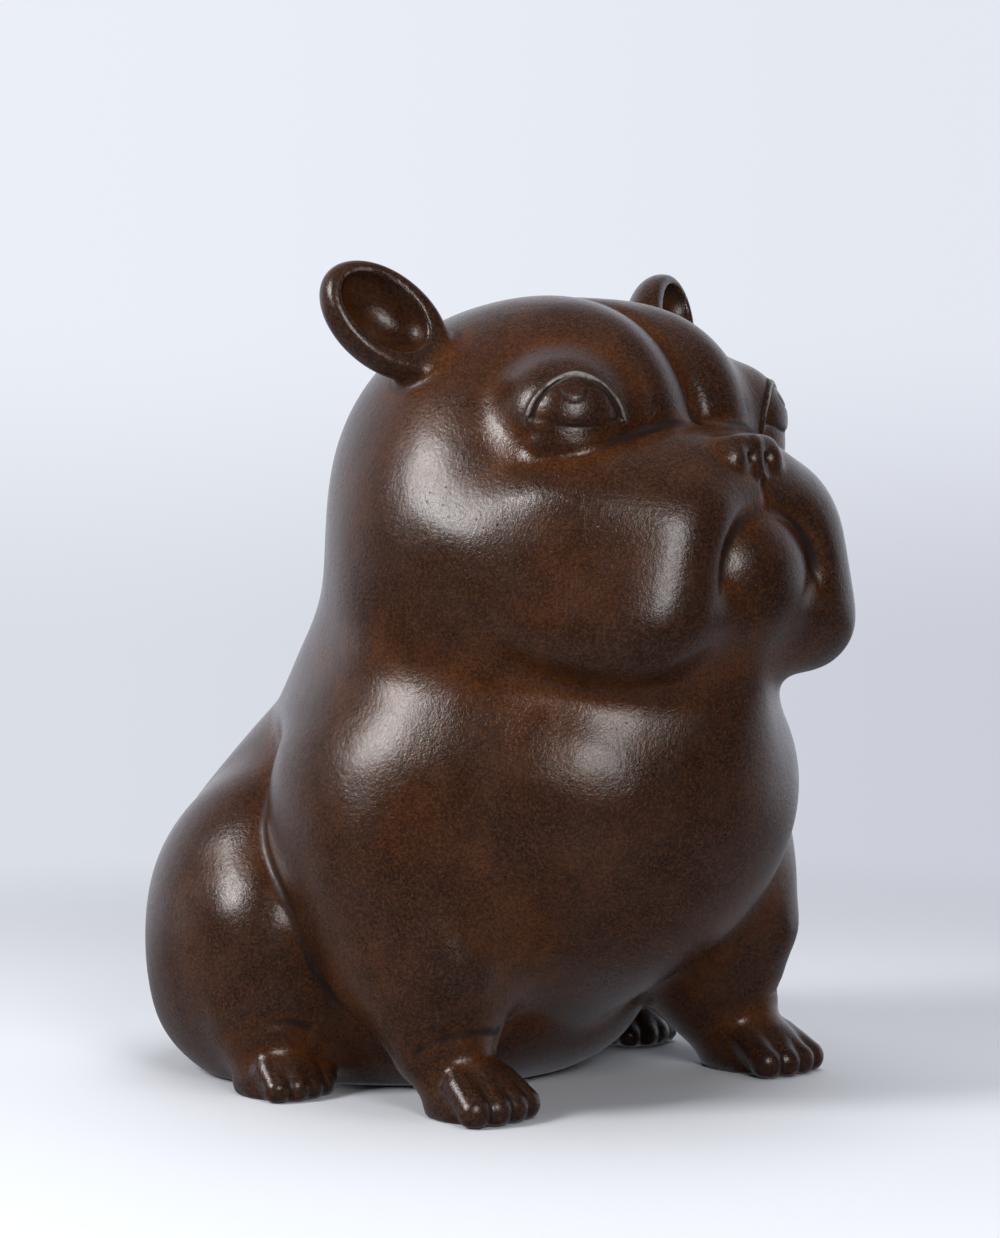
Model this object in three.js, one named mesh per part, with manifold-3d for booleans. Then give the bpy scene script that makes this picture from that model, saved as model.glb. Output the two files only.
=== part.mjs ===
// A seated puppy cast in bronze: round trunk on the ground, four stout legs, big head, bowl ears.
// Millimetres. The dog looks along -Y, its left side is +X, and Z is up from the ground.
import * as THREE from "three";
import { mergeVertices } from "three/addons/utils/BufferGeometryUtils.js";
import Module from "manifold-3d";

const { abs, atan2, exp, hypot, max, min, pow, sqrt, tanh } = Math;

// Signed distances: a form is a function of x, y, z that is negative inside the bronze.
// Places are given as side (towards the dog's left), forward and up, in millimetres.
const at = (side, forward, up) => [side, -forward, up];
const clamp = (t) => min(1, max(0, t));
const ease = (from, to, t) => {
  const q = clamp((t - from) / (to - from));
  return q * q * (3 - 2 * q);
};
const bell = (t, width) => exp(-(t * t) / (width * width));

const smoothMin = (a, b, k) => {
  const h = max(k - abs(a - b), 0) / k;
  return min(a, b) - h * h * k * 0.25;
};
const smoothMax = (a, b, k) => -smoothMin(-a, -b, k);

const blend = (k, first, ...rest) => (x, y, z) =>
  rest.reduce((d, form) => smoothMin(d, form(x, y, z), k), first(x, y, z));
const carve = (k, form, ...cuts) => (x, y, z) =>
  cuts.reduce((d, cut) => smoothMax(d, -cut(x, y, z), k), form(x, y, z));
const mirrored = (form) => (x, y, z) => form(abs(x), y, z);
const paired = (k, form) => (x, y, z) => smoothMin(form(x, y, z), form(-x, y, z), k);

// An egg: ellipsoid with three half-sizes.
function egg([cx, cy, cz], [rx, ry, rz]) {
  return (x, y, z) => {
    const u = (x - cx) / rx, v = (y - cy) / ry, w = (z - cz) / rz;
    const f = sqrt(u * u + v * v + w * w);
    const g = sqrt((u / rx) ** 2 + (v / ry) ** 2 + (w / rz) ** 2) + 1e-9;
    return (f * (f - 1)) / g;
  };
}

// A cushion: an egg with squarer shoulders, the power above 2.
function cushion([cx, cy, cz], [rx, ry, rz], power) {
  return (x, y, z) => {
    const u = abs(x - cx) / rx, v = abs(y - cy) / ry, w = abs(z - cz) / rz;
    const f = pow(pow(u, power) + pow(v, power) + pow(w, power), 1 / power) + 1e-6;
    const p = power - 1;
    return (f - 1) / hypot(pow(u / f, p) / rx, pow(v / f, p) / ry, pow(w / f, p) / rz);
  };
}

// A limb: the skin stretched over a ball at each end.
function limb([ax, ay, az], [bx, by, bz], ra, rb) {
  const dx = bx - ax, dy = by - ay, dz = bz - az;
  const l2 = dx * dx + dy * dy + dz * dz, rr = ra - rb, a2 = l2 - rr * rr, il2 = 1 / l2;
  return (x, y, z) => {
    const px = x - ax, py = y - ay, pz = z - az;
    const along = px * dx + py * dy + pz * dz, over = along - l2;
    const x2 = (px * l2 - dx * along) ** 2 + (py * l2 - dy * along) ** 2 + (pz * l2 - dz * along) ** 2;
    const y2 = along * along * l2, z2 = over * over * l2, k = Math.sign(rr) * rr * rr * x2;
    if (Math.sign(over) * a2 * z2 > k) return sqrt(x2 + z2) * il2 - rb;
    if (Math.sign(along) * a2 * y2 < k) return sqrt(x2 + y2) * il2 - ra;
    return (sqrt(x2 * a2 * il2) + along * rr) * il2 - ra;
  };
}

// Distance to a smooth line drawn through points, for grooves and creases; exact only near the line.
function nearLine(points, steps = 4) {
  const line = [];
  for (let i = 1; i < points.length; i++) {
    const [p, q, r, s] = [i - 2, i - 1, i, i + 1].map((n) => points[max(0, min(points.length - 1, n))]);
    for (let n = i === 1 ? 0 : 1; n <= steps; n++) {
      const t = n / steps, t2 = t * t, t3 = t2 * t;
      line.push(q.map((_, k) => 0.5 * (2 * q[k] + (r[k] - p[k]) * t
        + (2 * p[k] - 5 * q[k] + 4 * r[k] - s[k]) * t2 + (3 * q[k] - p[k] - 3 * r[k] + s[k]) * t3)));
    }
  }
  const middle = [0, 1, 2].map((k) => line.reduce((sum, p) => sum + p[k], 0) / line.length);
  const reach = max(...line.map((p) => hypot(p[0] - middle[0], p[1] - middle[1], p[2] - middle[2])));
  return (x, y, z) => {
    const far = hypot(x - middle[0], y - middle[1], z - middle[2]) - reach;
    if (far > 45) return far;
    let best = Infinity;
    for (let i = 1; i < line.length; i++) {
      const [ax, ay, az] = line[i - 1], [bx, by, bz] = line[i];
      const dx = bx - ax, dy = by - ay, dz = bz - az;
      const t = clamp(((x - ax) * dx + (y - ay) * dy + (z - az) * dz) / (dx * dx + dy * dy + dz * dz));
      best = min(best, (x - ax - dx * t) ** 2 + (y - ay - dy * t) ** 2 + (z - az - dz * t) ** 2);
    }
    return sqrt(best);
  };
}

// A form drawn out by reach above and below the height middle, its top leaning inwards.
const tall = (middle, reach, lean, form) => (x, y, z) => {
  const rise = z - middle;
  return form(x + lean * rise, y, z - reach * tanh(rise / reach));
};

// A form drawn in its own axes: across, along and facing.
function placed(centre, alongDir, facingDir, form) {
  const along = new THREE.Vector3(...alongDir).normalize();
  const facing = new THREE.Vector3(...facingDir);
  facing.addScaledVector(along, -facing.dot(along)).normalize();
  const across = new THREE.Vector3().crossVectors(along, facing);
  return (x, y, z) => {
    const p = x - centre[0], q = y - centre[1], r = z - centre[2];
    return form(
      across.x * p + across.y * q + across.z * r,
      along.x * p + along.y * q + along.z * r,
      facing.x * p + facing.y * q + facing.z * r,
    );
  };
}

// Trunk: egg-shaped rump and belly on the ground, back rising to a thick nape, round chest.
const rump = blend(45, cushion(at(0, -116, 104), [174, 133, 134], 2.3), egg(at(0, -116, 48), [168, 126, 66]));
const back = limb(at(0, -76, 184), at(0, 42, 330), 128, 115);
const belly = cushion(at(0, 0, 98), [128, 102, 100], 2.6);
const brisket = limb(at(0, 102, 190), at(0, 10, 88), 118, 84);
const chest = egg(at(0, 95, 221), [159, 147, 124]);
const shoulder = paired(30, limb(at(60, -18, 282), at(91, 8, 172), 58, 87));
const neck = paired(40, limb(at(64, 66, 338), at(88, 56, 225), 74, 90));
const nape = egg(at(0, 53, 367), [113, 106, 120]);
const rearTrunk = blend(50, rump, back, belly);
const foreTrunk = blend(50, chest, nape, neck, shoulder, brisket);

// Skull: round cranium, two brow masses with a furrow between them, a dome round each eye.
const cranium = egg(at(0, 62, 428), [152, 143, 130]);
const brows = paired(3, egg(at(36, 122, 468), [42, 84, 74]));
const forehead = blend(40, cranium, brows);
const furrow = (x, y, z) => (3 + 6 * ease(540, 470, z)) * ease(85, 120, -y) * ease(448, 468, z) * bell(x, 6);
const domeAt = at(79, 155, 470), domeSize = [47, 47, 44], domeRound = 45;
const dome = egg(domeAt, domeSize);

// Eye, drawn on the dome in millimetres: u towards the outer corner, v upwards.
const lid = { u: 6.5, half: 33, foot: -8, rise: 35.5, power: 1.8 };
const iris = { u: 9, v: 19.5, radius: 10 };
const eyeRelief = placed(domeAt, [0, 0, 1], [0.42, -0.89, 0.12], (across, along, facing) => {
  const u = domeRound * atan2(across, facing), v = domeRound * atan2(along, hypot(across, facing));
  const s = (u - lid.u) / lid.half;
  const arch = pow(pow(abs(s), lid.power) + pow(max(v - lid.foot, 0) / lid.rise, lid.power), 1 / lid.power);
  const sill = lid.foot + 2.4 + 4 * s * s;
  const open = ease(1.035, 0.965, arch) * ease(sill - 1.2, sill + 1.2, v);
  const rim = 1.9 * bell((arch - 1.05) * 36, 2.4) * ease(lid.foot - 4, lid.foot + 4, v);
  const ball = 4 * (1 - s * s) - 2.6 - 1.4 * ease(6, 28, v);
  const ring = -0.7 * bell(hypot(u - iris.u, v - iris.v) - iris.radius, 1.3) * ease(23, 14, v);
  const roll = 3.5 * bell(v + 19, 7.5) * ease(1.25, 0.8, abs(s));
  const seam = -0.5 * bell(v - sill, 2.6) * ease(1.1, 0.8, abs(s));
  return rim + (ball + ring) * open + roll + seam;
});
const eye = mirrored((x, y, z) => {
  const d = dome(x, y, z);
  return d > 40 ? d : d - eyeRelief(x, y, z);
});
const skull = (x, y, z) => {
  return smoothMin(forehead(x, y, z) + furrow(x, y, z), eye(x, y, z), 13);
};

// Face: full cheeks, hanging flews round a thumb-shaped chin, short nose on the muzzle's top.
const cheeks = paired(30, egg(at(89, 106, 372), [70, 94, 80]));
const flews = paired(10, tall(368, 30, 0.26, egg(at(62, 187, 368), [60, 87, 50])));
const muzzle = egg(at(0, 162, 412), [132, 100, 49]);
const bridge = cushion(at(0, 194, 428), [56, 57, 32], 2.5);
const lipLine = mirrored(nearLine([
  at(0, 268, 406), at(24, 268, 399), at(44, 266, 378), at(51, 258, 340), at(53, 244, 300),
]));
const philtrum = nearLine([at(0, 262, 434), at(0, 268, 410)]);
const chin = blend(16, egg(at(0, 237, 364), [54, 46, 52]), limb(at(0, 206, 322), at(0, 184, 275), 50, 62));
const throat = limb(at(0, 180, 322), at(0, 146, 250), 62, 80);
const nostril = mirrored(egg(at(8.5, 264, 443), [4, 8, 5.5]));
const noseWings = mirrored(egg(at(18, 253, 442), [8.5, 8.5, 10]));
const septum = limb(at(0, 253, 452), at(0, 259, 433), 5.5, 4);
const nosePad = blend(4, cushion(at(0, 247, 446), [27, 12, 13.5], 3), noseWings, septum);
const nose = carve(2, nosePad, nostril);
const fullJowls = blend(60, cheeks, flews);
// The jowls' underside rises towards the back.
const jowls = (x, y, z) => smoothMax(fullJowls(x, y, z), (266 + (225 + y) * 0.44 - z) * 0.92, 44);
const lips = (x, y, z) => jowls(x, y, z) + 6 * bell(lipLine(x, y, z), 9) * ease(335, 375, z);
const upperLip = blend(26, lips, muzzle, bridge);
const partedLip = (x, y, z) => upperLip(x, y, z) + 2.5 * bell(philtrum(x, y, z), 3);
const face = blend(6, partedLip, nose);
const jaw = blend(20, chin, throat);
// A fold runs from under each eye to the stop above the nose.
const stop = mirrored(
  nearLine([
    at(140, 132, 452), at(134, 154, 446), at(126, 180, 443), at(109, 199, 444),
    at(94, 204, 450), at(76, 205, 456), at(58, 207, 461), at(38, 212, 465), at(14, 213, 467),
  ]),
);
const head = (x, y, z) => {
  const k = 62 - 52 * ease(60, 200, -y) * ease(380, 444, z);
  const fold = 2.2 * bell(stop(x, y, z), 4.5) * ease(10, 40, abs(x)) * ease(142, 118, abs(x));
  const top = smoothMin(skull(x, y, z), face(x, y, z), k) + fold;
  return smoothMin(top, jaw(x, y, z), 5 + 27 * ease(372, 330, z));
};

// Ears: thick leaning bowls, squashed front to back and hollowed from the front.
const earOuter = egg([-1, -9, 0], [34, 51, 26]);
const earInner = egg([-1, -4, 14], [23, 35, 24]);
const earFace = 12;
const ear = (side, up) =>
  placed(at(side, 43, up), [0.6, 0.4, 0.58], [0.15, -0.98, 0.1], (a, b, c) =>
    smoothMax(smoothMax(earOuter(a, b, c), c - earFace, 3), -earInner(a, b, c), 2));
const leftEar = ear(146, 547), rightEar = ear(148, 541);

// Paws with four toes: spread is the step from toe to toe, reach how far they go.
function paw(side, forward, { wide, long, high, spread, reach, toe }) {
  const pad = cushion(at(side, forward, high * 0.42), [wide, long, high], 2.1);
  const toes = [-1.5, -0.5, 0.5, 1.5].map((n) =>
    limb(
      at(side + n * spread * 0.85, forward + long * 0.35, toe * 2.1),
      at(side + n * spread, forward + reach - 4 * abs(n), toe * 0.9), toe * 0.95, toe));
  return blend(6, pad, blend(2, ...toes));
}
const foreFoot = { wide: 28, long: 33, high: 30, spread: 15.5, reach: 35, toe: 11.5 };
const hindFoot = { wide: 26, long: 34, high: 26, spread: 13.5, reach: 31, toe: 9.5 };

// A foreleg, with the radii of its shoulder and wrist; the left one stands wider and further forward.
function foreleg(sign, [upper, lower], [legOut, legOn], [pawOut, pawOn], size) {
  const p = (side, forward, up) => at(sign * (side + legOut), forward + legOn, up);
  const arm = limb(p(88, 28, 208), p(127, 88, 50), upper, lower);
  const elbow = egg(p(132, 40, 105), [38, 50, 50]);
  const forearm = egg(p(137, 90, 122), [40, 43, 64]);
  const foot = paw(sign * (127 + pawOut), 113 + pawOn, size);
  const upperArm = egg(p(118, 60, 166), [76, 64, 76]);
  const leg = blend(30, arm, upperArm, elbow, forearm);
  const knot = nearLine([p(152, 133, 102), p(144, 139, 100)]);
  const q = (side, forward, up) => at(sign * (side + pawOut), forward + pawOn, up);
  const wrist = nearLine([
    q(161, 97, 46), q(158, 109, 53), q(147, 121, 58), q(128, 126, 59), q(106, 120, 57),
  ]);
  return (x, y, z) => smoothMin(leg(x, y, z), foot(x, y, z), 12) + 2.2 * bell(wrist(x, y, z), 6)
    - 5 * bell(knot(x, y, z), 19);
}
const rightForeleg = foreleg(-1, [102, 37], [0, 0], [0, 0], foreFoot);
const leftForeleg = foreleg(1, [112, 41], [17, 14], [22, 12], { ...foreFoot, long: 42, reach: 42 });

// Each hind leg is a haunch, a shin like a short column and a small paw; the left foot stands
// further out and forward.
function hindLeg(sign, [out, on]) {
  const haunch = egg(at(sign * 128, -98, 108), [76, 88, 108]);
  const p = (side, forward, up) => at(sign * (side + out), forward + on, up);
  const shin = limb(at(sign * 148, -62, 112), p(160, -56, 54), 55, 38);
  const foot = paw(sign * (164 + out), -42 + on, hindFoot);
  const ankle = nearLine([
    p(197, -62, 38), p(196, -48, 44), p(188, -30, 52), p(174, -20, 54), p(157, -16, 50),
  ]);
  const thigh = blend(20, haunch, shin);
  return (x, y, z) => smoothMin(thigh(x, y, z), foot(x, y, z), 12) + 2.2 * bell(ankle(x, y, z), 6);
}
const rightHindLeg = hindLeg(-1, [0, 0]), leftHindLeg = hindLeg(1, [6, 22]);
// The stub of a tail lies against the rump.
const tail = limb(at(0, -234, 132), at(5, -252, 98), 17, 11);

// The whole skin: the crease between haunch and shoulder is sharp low down and fades up the back.
const skin = (x, y, z) => {
  const hind = x > 0 ? leftHindLeg(x, y, z) : rightHindLeg(x, y, z);
  const rear = smoothMin(smoothMin(rearTrunk(x, y, z), hind, 26), tail(x, y, z), 12);
  const legs = smoothMin(rightForeleg(x, y, z), leftForeleg(x, y, z), 5);
  const fore = smoothMin(foreTrunk(x, y, z), legs, 30);
  const trunk = smoothMin(rear, fore, 6 + 58 * ease(222, 275, z));
  const bust = smoothMin(trunk, head(x, y, z), 64 - 38 * ease(20, 190, -y));
  return smoothMin(bust, x > 0 ? leftEar(x, y, z) : rightEar(-x, y, z), 10);
};

// Skin net: the space is cut into small cubes of six corner-to-corner tetrahedra each, and the
// skin is drawn through every tetrahedron that it crosses.
const cell = 5, below = 8;
const boxLow = [-226, -286, -below - 1.5 * cell], boxHigh = [226, 286, 606];
const trianglesWanted = 9300;

function drawNet(field, low, high, step) {
  const n = [0, 1, 2].map((k) => Math.ceil((high[k] - low[k]) / step) + 1);
  const sy = n[0], sz = n[0] * n[1];
  const values = new Float32Array(sz * n[2]).fill(NaN);
  const far = 4;
  const spot = (i, j, k) => [low[0] + i * step, low[1] + j * step, low[2] + k * step];
  // Blocks of the space that the skin cannot reach take the value of their middle.
  for (let k = 0; k < n[2]; k += far) for (let j = 0; j < n[1]; j += far)
    for (let i = 0; i < n[0]; i += far) {
    const middle = field(...spot(i + far / 2, j + far / 2, k + far / 2));
    const skip = abs(middle) > far * step * 1.6;
    for (let c = k; c < min(k + far, n[2]); c++) for (let b = j; b < min(j + far, n[1]); b++)
      for (let a = i; a < min(i + far, n[0]); a++)
        values[a + b * sy + c * sz] = skip ? middle : field(...spot(a, b, c));
  }
  const offset = (code) => (code & 1) + ((code >> 1) & 1) * sy + ((code >> 2) & 1) * sz;
  const orders = [[1, 2, 4], [1, 4, 2], [2, 1, 4], [2, 4, 1], [4, 1, 2], [4, 2, 1]];
  const tets = orders.map(([a, b]) => [0, a, a | b, 7]);
  const points = [], triangles = [], seen = new Map();
  const corner = (code) => [code & 1, (code >> 1) & 1, (code >> 2) & 1];
  const middleOf = (p, q) => corner(p).map((v, m) => (v + corner(q)[m]) / 2);
  const wind = new Map();
  // Whether a triangle through the middles of three edges faces from the inside to the outside.
  const facesOut = (edges, inside, outside) => {
    const key = edges.flat().join();
    if (!wind.has(key)) {
      const [p, q, r] = edges.map(([a, b]) => new THREE.Vector3(...middleOf(a, b)));
      const normal = q.sub(p).cross(r.sub(p));
      const out = new THREE.Vector3(...corner(outside)).sub(new THREE.Vector3(...corner(inside)));
      wind.set(key, normal.dot(out) > 0);
    }
    return wind.get(key);
  };
  for (let k = 0; k + 1 < n[2]; k++) for (let j = 0; j + 1 < n[1]; j++) for (let i = 0; i + 1 < n[0]; i++) {
    const here = i + j * sy + k * sz;
    const sign = values[here] < 0;
    let mixed = false;
    for (let code = 1; code < 8 && !mixed; code++) mixed = values[here + offset(code)] < 0 !== sign;
    if (!mixed) continue;
    const vertex = ([p, q]) => {
      const [a, b] = p < q ? [p, q] : [q, p];
      const key = (here + offset(a)) * 8 + (b ^ a);
      if (!seen.has(key)) {
        const va = values[here + offset(a)], vb = values[here + offset(b)];
        const t = min(0.97, max(0.03, va / (va - vb)));
        const pa = corner(a), pb = corner(b);
        seen.set(key, points.length / 3);
        [i, j, k].forEach((m, axis) =>
          points.push(low[axis] + (m + pa[axis] + (pb[axis] - pa[axis]) * t) * step));
      }
      return seen.get(key);
    };
    const add = (edges, inside, outside) => {
      const [a, b, c] = edges.map(vertex);
      triangles.push(...(facesOut(edges, inside, outside) ? [a, b, c] : [a, c, b]));
    };
    for (const tet of tets) {
      const inner = tet.filter((code) => values[here + offset(code)] < 0);
      const outer = tet.filter((code) => !inner.includes(code));
      if (inner.length === 1) add(outer.map((o) => [inner[0], o]), inner[0], outer[0]);
      if (inner.length === 3) add(inner.map((o) => [o, outer[0]]), inner[0], outer[0]);
      if (inner.length === 2) {
        const [a, b] = inner, [c, d] = outer;
        add([[a, c], [a, d], [b, d]], a, d);
        add([[a, c], [b, d], [b, c]], b, c);
      }
    }
  }
  return { points: Float64Array.from(points), triangles: Int32Array.from(triangles) };
}

// Fewer facets: the edge whose loss bends the skin least is drawn together, again and again, so
// that flat stretches keep few facets and lids, lips and toes keep many.
function thinOut({ points, triangles }, wanted) {
  const count = points.length / 3, faces = triangles.length / 3;
  const quadric = new Float64Array(count * 10);
  const around = Array.from({ length: count }, () => []);
  const alive = new Uint8Array(faces).fill(1), stamp = new Int32Array(count);
  const normalOf = (a, b, c, target) => {
    const ux = points[b] - points[a], uy = points[b + 1] - points[a + 1], uz = points[b + 2] - points[a + 2];
    const vx = points[c] - points[a], vy = points[c + 1] - points[a + 1], vz = points[c + 2] - points[a + 2];
    target[0] = uy * vz - uz * vy;
    target[1] = uz * vx - ux * vz;
    target[2] = ux * vy - uy * vx;
    return hypot(target[0], target[1], target[2]);
  };
  const nrm = [0, 0, 0];
  for (let f = 0; f < faces; f++) {
    const [a, b, c] = [triangles[3 * f], triangles[3 * f + 1], triangles[3 * f + 2]];
    const size = normalOf(3 * a, 3 * b, 3 * c, nrm) + 1e-12;
    const [x, y, z] = nrm.map((v) => v / size);
    const w = -(x * points[3 * a] + y * points[3 * a + 1] + z * points[3 * a + 2]);
    const terms = [x * x, x * y, x * z, x * w, y * y, y * z, y * w, z * z, z * w, w * w];
    for (const v of [a, b, c]) {
      around[v].push(f);
      for (let m = 0; m < 10; m++) quadric[10 * v + m] += (terms[m] * size) / 2;
    }
  }
  const q = new Float64Array(10);
  const errorAt = (x, y, z) =>
    q[0] * x * x + q[4] * y * y + q[7] * z * z + q[9] +
    2 * (q[1] * x * y + q[2] * x * z + q[3] * x + q[5] * y * z + q[6] * y + q[8] * z);
  const best = [0, 0, 0];
  // The place for the joined vertex that keeps nearest to all the planes round it.
  const settle = (a, b) => {
    for (let m = 0; m < 10; m++) q[m] = quadric[10 * a + m] + quadric[10 * b + m];
    const mx = (points[3 * a] + points[3 * b]) / 2, my = (points[3 * a + 1] + points[3 * b + 1]) / 2;
    const mz = (points[3 * a + 2] + points[3 * b + 2]) / 2;
    const soft = 1e-3 * (q[0] + q[4] + q[7]);
    const A = q[0] + soft, B = q[1], C = q[2], D = q[4] + soft, E = q[5], F = q[7] + soft;
    const r = [soft * mx - q[3], soft * my - q[6], soft * mz - q[8]];
    const det = A * (D * F - E * E) - B * (B * F - E * C) + C * (B * E - D * C);
    best[0] = (r[0] * (D * F - E * E) - B * (r[1] * F - E * r[2]) + C * (r[1] * E - D * r[2])) / det;
    best[1] = (A * (r[1] * F - E * r[2]) - r[0] * (B * F - E * C) + C * (B * r[2] - r[1] * C)) / det;
    best[2] = (A * (D * r[2] - r[1] * E) - B * (B * r[2] - r[1] * C) + r[0] * (B * E - D * C)) / det;
    const span = hypot(points[3 * a] - mx, points[3 * a + 1] - my, points[3 * a + 2] - mz);
    const moved = hypot(best[0] - mx, best[1] - my, best[2] - mz);
    if (!(moved < 3 * span)) [best[0], best[1], best[2]] = [mx, my, mz];
    return max(0, errorAt(...best)) + 1e-4 * span * span;
  };
  // A heap of edges, cheapest first; an entry is stale once either end has moved since.
  const heap = [];
  const push = (entry) => {
    let i = heap.length;
    heap.push(entry);
    while (i > 0 && heap[(i - 1) >> 1][0] > entry[0]) { heap[i] = heap[(i - 1) >> 1]; i = (i - 1) >> 1; }
    heap[i] = entry;
  };
  const pop = () => {
    const top = heap[0], last = heap.pop();
    if (!heap.length) return top;
    let i = 0;
    for (;;) {
      let c = 2 * i + 1;
      if (c >= heap.length) break;
      if (c + 1 < heap.length && heap[c + 1][0] < heap[c][0]) c++;
      if (heap[c][0] >= last[0]) break;
      heap[i] = heap[c];
      i = c;
    }
    heap[i] = last;
    return top;
  };
  const offer = (a, b) => push([settle(a, b), a, b, stamp[a], stamp[b]]);
  const beside = (v) => {
    const set = new Set();
    for (const f of around[v]) if (alive[f]) for (let m = 0; m < 3; m++) set.add(triangles[3 * f + m]);
    set.delete(v);
    return set;
  };
  // Moving v to the new place may not turn a facet over or leave it a sliver.
  const staysSound = (v, other, place, sliver) => {
    for (const f of around[v]) {
      if (!alive[f]) continue;
      const t = [triangles[3 * f], triangles[3 * f + 1], triangles[3 * f + 2]];
      if (t.includes(other)) continue;
      const before = [0, 0, 0], after = [0, 0, 0];
      const sizeBefore = normalOf(3 * t[0], 3 * t[1], 3 * t[2], before);
      const kept = [points[3 * v], points[3 * v + 1], points[3 * v + 2]];
      points.set(place, 3 * v);
      const sizeAfter = normalOf(3 * t[0], 3 * t[1], 3 * t[2], after);
      const longest = max(...[0, 1, 2].map((m) => {
        const p = 3 * t[m], r = 3 * t[(m + 1) % 3];
        return hypot(points[p] - points[r], points[p + 1] - points[r + 1], points[p + 2] - points[r + 2]);
      }));
      points.set(kept, 3 * v);
      const dot = before[0] * after[0] + before[1] * after[1] + before[2] * after[2];
      const turn = dot / (sizeBefore * sizeAfter);
      if (!(turn > 0.3) || sizeAfter < sliver * longest * longest) return false;
    }
    return true;
  };
  let left = faces;
  const drawTogether = ([, a, b, sa, sb], sliver) => {
    if (sa !== stamp[a] || sb !== stamp[b]) return;
    const na = beside(a), nb = beside(b);
    let shared = 0;
    for (const v of na) if (nb.has(v)) shared++;
    if (shared !== 2) return;
    settle(a, b);
    const place = [...best];
    if (!staysSound(a, b, place, sliver) || !staysSound(b, a, place, sliver)) return;
    points.set(place, 3 * a);
    for (let m = 0; m < 10; m++) quadric[10 * a + m] += quadric[10 * b + m];
    for (const f of around[b]) {
      if (!alive[f]) continue;
      const t = [0, 1, 2].map((m) => triangles[3 * f + m]);
      if (t.includes(a)) {
        alive[f] = 0;
        left--;
      } else {
        triangles[3 * f + t.indexOf(b)] = a;
        around[a].push(f);
      }
    }
    around[a] = around[a].filter((f) => alive[f]);
    stamp[b] = -1;
    stamp[a]++;
    for (const v of beside(a)) offer(a, v);
  };
  for (let sliver = 0.08; left > wanted && sliver > 0.001; sliver /= 2) {
    heap.length = 0;
    for (let v = 0; v < count; v++) if (stamp[v] >= 0) for (const w of beside(v)) if (v < w) offer(v, w);
    while (left > wanted && heap.length) drawTogether(pop(), sliver);
  }
  const used = new Int32Array(count).fill(-1), kept = [], index = [];
  for (let f = 0; f < faces; f++) {
    if (!alive[f]) continue;
    for (let m = 0; m < 3; m++) {
      const v = triangles[3 * f + m];
      if (used[v] < 0) {
        used[v] = kept.length / 3;
        kept.push(points[3 * v], points[3 * v + 1], points[3 * v + 2]);
      }
      index.push(used[v]);
    }
  }
  return { points: Float32Array.from(kept), triangles: Uint32Array.from(index) };
}

const solidForm = (x, y, z) => max(skin(x, y, z), -z - below);
const net = thinOut(drawNet(solidForm, boxLow, boxHigh, cell), trianglesWanted);

// The underside is sawn off flat where the cast stands on the ground.
const wasm = await Module();
wasm.setup();
const solidOf = (points, triangles) =>
  new wasm.Manifold(new wasm.Mesh({ numProp: 3, vertProperties: points, triVerts: triangles }));
function boxSolid(low, high) {
  const box = new THREE.BoxGeometry(...high.map((v, k) => v - low[k]));
  box.translate(...high.map((v, k) => (v + low[k]) / 2));
  box.deleteAttribute("normal");
  box.deleteAttribute("uv");
  const joined = mergeVertices(box);
  return solidOf(joined.attributes.position.array, Uint32Array.from(joined.index.array));
}
const ground = boxSolid([-400, -400, -100], [400, 400, 0]);
const cast = solidOf(net.points, net.triangles).subtract(ground).getMesh();

const geometry = new THREE.BufferGeometry();
geometry.setAttribute("position", new THREE.BufferAttribute(Float32Array.from(cast.vertProperties), 3));
geometry.setIndex(new THREE.BufferAttribute(Uint32Array.from(cast.triVerts), 1));
// The origin is the middle of the cast's footprint box, on the ground.
geometry.computeBoundingBox();
const middle = geometry.boundingBox.getCenter(new THREE.Vector3());
geometry.translate(-middle.x, -middle.y, 0);
geometry.computeVertexNormals();

const bronze = new THREE.MeshStandardMaterial({ color: 0x4d2f1e, roughness: 0.38, metalness: 0.55 });
const dog = new THREE.Mesh(geometry, bronze);
dog.name = "dog";

const sculpture = new THREE.Group();
sculpture.name = "dog_sculpture";
sculpture.add(dog);
export default sculpture;
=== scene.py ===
"""A seated puppy cast in bronze, with its brown patina, on a pale studio floor.

The cast is one skin. Every form of the animal is a signed distance in millimetres, negative
inside the bronze, in the dog's own axes: it looks along -Y, its left side is +X and Z is up from
the ground. The forms are joined as a modeller presses lumps of clay together, and the skin is the
level surface of the whole. It can't be laid out as one grid of two parameters, because legs, ears,
flews and lids branch off it, so it is drawn as a net through small cubes and then pulled on to the
level surface, all as whole arrays.
"""

from __future__ import annotations

import logging
import math
from dataclasses import dataclass
from enum import Enum
from functools import reduce
from itertools import product
from typing import Callable, Sequence

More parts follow.
